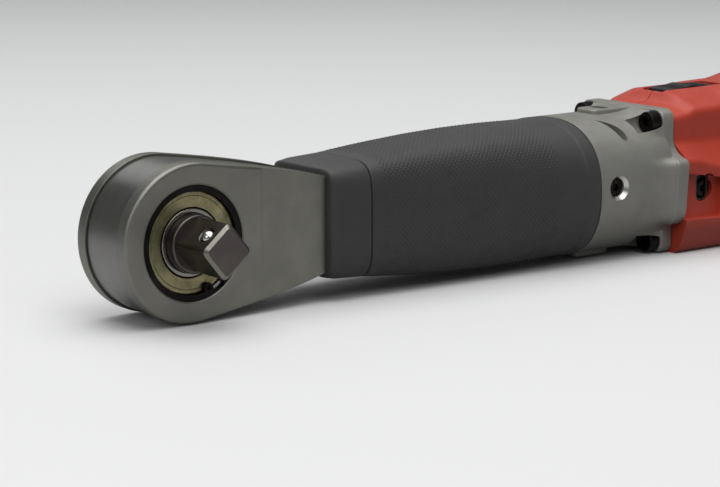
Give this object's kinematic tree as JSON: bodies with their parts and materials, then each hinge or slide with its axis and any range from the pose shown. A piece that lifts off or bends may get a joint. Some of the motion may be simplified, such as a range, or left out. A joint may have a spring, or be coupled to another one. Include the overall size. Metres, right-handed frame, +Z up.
{
  "type": "digital torque wrench",
  "caption": "Cordless right-angle digital torque wrench: square drive head, rubber boot over a torque tube, cast gear case, moulded housing with display, trigger and slide-off battery.",
  "frame": {"origin": "centre of the flat end of the square drive, on the drive's axis", "axes": "+X runs along the tool from the head to the battery, -Y is the way the square drive points, +Z is up with the tool lying on the edge of its housing"},
  "size_m": [0.5845, 0.0992, 0.065],
  "materials": {
    "steel_plate": "satin machined steel",
    "dark_steel": "dark phosphated steel",
    "bright_steel": "ground bearing steel",
    "zinc_plate": "yellow zinc plate",
    "bronze": "plain bronze",
    "black_steel": "black oxide",
    "rubber": "matt black rubber with a fine diamond texture",
    "casting": "as-cast aluminium, lightly blasted",
    "red_plastic": "fine-grained red moulding",
    "black_plastic": "fine-grained black moulding",
    "copper": "enamelled copper",
    "gauge_film": "amber film over copper foil",
    "board": "green circuit board",
    "lens": "clear hard-coated window",
    "panel": "grey-green display panel"
  },
  "bodies": {
    "tool": {"head_front_plate": "steel_plate", "head_body": "dark_steel", "head_rear_plate": "steel_plate", "bearing_outer_race": "bright_steel", "bearing_shield": "zinc_plate", "bearing_retaining_ring": "black_steel", "anvil_bush": "bronze", "pinion_bush": "bronze", "torque_tube": "bright_steel", "strain_gauge_upper": "gauge_film", "strain_gauge_lower": "gauge_film", "boot_collar": "rubber", "boot_sleeve": "rubber", "gear_case": "casting", "case_screw_1": "black_steel", "case_screw_2": "black_steel", "case_screw_3": "black_steel", "case_screw_4": "black_steel", "ring_gear": "steel_plate", "motor_bracket": "casting", "motor_stator": "copper", "motor_rear_bearing": "bright_steel", "housing_left": "red_plastic", "housing_right": "red_plastic", "bracket_screw": "black_steel", "housing_screw_1": "black_steel", "housing_screw_2": "black_steel", "housing_screw_3": "black_steel", "grip_cover_left": "rubber", "grip_cover_right": "rubber", "display_bezel": "black_plastic", "display_lens": "lens", "display_panel": "panel", "control_board": "board", "trigger_pin": "bright_steel", "trigger_switch": "black_plastic", "trigger_spring": "bright_steel"},
    "anvil": {"anvil": "dark_steel", "bearing_inner_race": "bright_steel", "anvil_bevel_gear": "dark_steel", "detent_spring": "bright_steel"},
    "detent_ball": {"detent_ball": "bright_steel"},
    "pinion": {"pinion_shaft": "steel_plate", "planet_carrier": "steel_plate"},
    "planet_1": {"planet_gear_1": "steel_plate"},
    "planet_2": {"planet_gear_2": "steel_plate"},
    "planet_3": {"planet_gear_3": "steel_plate"},
    "rotor": {"motor_rotor": "dark_steel", "sun_gear": "steel_plate", "motor_fan": "black_plastic"},
    "trigger": {"trigger_paddle": "black_plastic"},
    "button_down": {"button_down": "black_plastic"},
    "button_power": {"button_power": "black_plastic"},
    "button_up": {"button_up": "black_plastic"},
    "selector": {"direction_selector": "black_plastic"},
    "battery": {"battery_pack": "black_plastic"},
    "latch": {"battery_latch": "red_plastic"}
  },
  "joints": [
    {"name": "anvil_spin", "type": "hinge", "parent": "tool", "child": "anvil", "pos_m": [0, 0.02, 0], "axis": [0, 1, 0], "continuous": true},
    {"name": "ball_press", "type": "slide", "parent": "anvil", "child": "detent_ball", "axis": [0.6401, 0, -0.7683], "range_m": [0, 0.0009], "stiffness_N_per_m": 600, "springref_m": -0.0015, "deforming": ["detent_spring"]},
    {"name": "pinion_spin", "type": "hinge", "parent": "tool", "child": "pinion", "pos_m": [0.1, 0.0334, 0], "axis": [1, 0, 0], "continuous": true},
    {"name": "planet_1_spin", "type": "hinge", "parent": "pinion", "child": "planet_1", "pos_m": [0.18, 0.04442, 0], "axis": [1, 0, 0], "continuous": true},
    {"name": "planet_2_spin", "type": "hinge", "parent": "pinion", "child": "planet_2", "pos_m": [0.18, 0.02789, 0.00955], "axis": [1, 0, 0], "continuous": true},
    {"name": "planet_3_spin", "type": "hinge", "parent": "pinion", "child": "planet_3", "pos_m": [0.18, 0.02789, -0.00955], "axis": [1, 0, 0], "continuous": true},
    {"name": "rotor_spin", "type": "hinge", "parent": "tool", "child": "rotor", "pos_m": [0.22, 0.0334, 0], "axis": [1, 0, 0], "continuous": true},
    {"name": "trigger_pull", "type": "hinge", "parent": "tool", "child": "trigger", "pos_m": [0.35, 0.0164, 0], "axis": [0, 0, 1], "range_deg": [0, 4], "stiffness_Nm_per_rad": 0.9, "springref_deg": -8.59, "deforming": ["trigger_spring"]},
    {"name": "button_down_press", "type": "slide", "parent": "tool", "child": "button_down", "axis": [0, -1, 0], "range_m": [0, 0.0008], "stiffness_N_per_m": 1200, "springref_m": -0.0006},
    {"name": "button_power_press", "type": "slide", "parent": "tool", "child": "button_power", "axis": [0, -1, 0], "range_m": [0, 0.0008], "stiffness_N_per_m": 1200, "springref_m": -0.0006},
    {"name": "button_up_press", "type": "slide", "parent": "tool", "child": "button_up", "axis": [0, -1, 0], "range_m": [0, 0.0008], "stiffness_N_per_m": 1200, "springref_m": -0.0006},
    {"name": "selector_slide", "type": "slide", "parent": "tool", "child": "selector", "axis": [1, 0, 0], "range_m": [-0.003, 0.003]},
    {"name": "battery_slide", "type": "slide", "parent": "tool", "child": "battery", "axis": [0, -1, 0], "range_m": [0, 0.055]},
    {"name": "latch_press", "type": "slide", "parent": "battery", "child": "latch", "axis": [0, 1, 0], "range_m": [0, 0.0025], "stiffness_N_per_m": 800, "springref_m": -0.002}
  ],
  "couplings": [
    {"joint": "pinion_spin", "follows": "anvil_spin", "ratio": -3},
    {"joint": "planet_1_spin", "follows": "anvil_spin", "ratio": 8.7273},
    {"joint": "planet_2_spin", "follows": "anvil_spin", "ratio": 8.7273},
    {"joint": "planet_3_spin", "follows": "anvil_spin", "ratio": 8.7273},
    {"joint": "rotor_spin", "follows": "anvil_spin", "ratio": -12.6}
  ]
}
